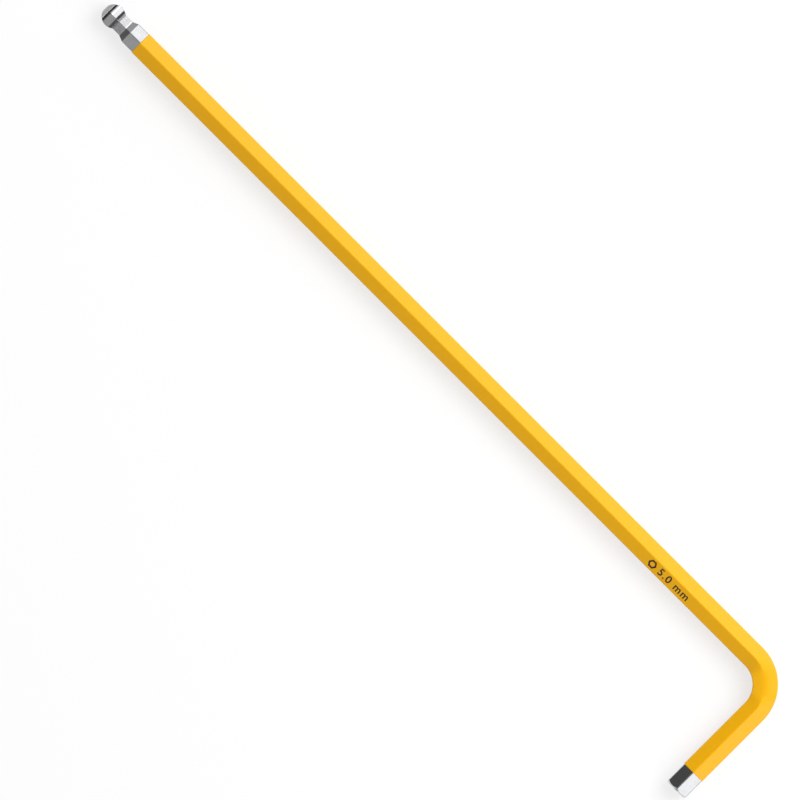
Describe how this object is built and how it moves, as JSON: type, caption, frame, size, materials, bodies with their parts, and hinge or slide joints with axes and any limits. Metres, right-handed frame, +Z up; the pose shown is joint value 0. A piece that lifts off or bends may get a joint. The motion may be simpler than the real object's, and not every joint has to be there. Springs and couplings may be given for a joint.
{
  "type": "hex key",
  "caption": "Long-arm hex key bent from hexagonal bar, with a ball end, a short straight end and a yellow powder-coated grip between bare tips.",
  "frame": {"origin": "middle of the box round the key in X and Y, at the level of the surface it lies on", "axes": "+X along the long arm from the ball towards the elbow, +Y from the short arm's end face towards the long arm, +Z up, square to the plane of the bend"},
  "size_m": [0.197, 0.033, 0.0058],
  "materials": {
    "bare_metal": "hard-plated tool steel, bright, with fine grinding marks",
    "powder_coat": "melon-yellow powder coat, satin gloss with a fine orange-peel texture"
  },
  "bodies": {
    "root": {"key_bar": "bare_metal", "coat": "powder_coat"}
  },
  "joints": []
}
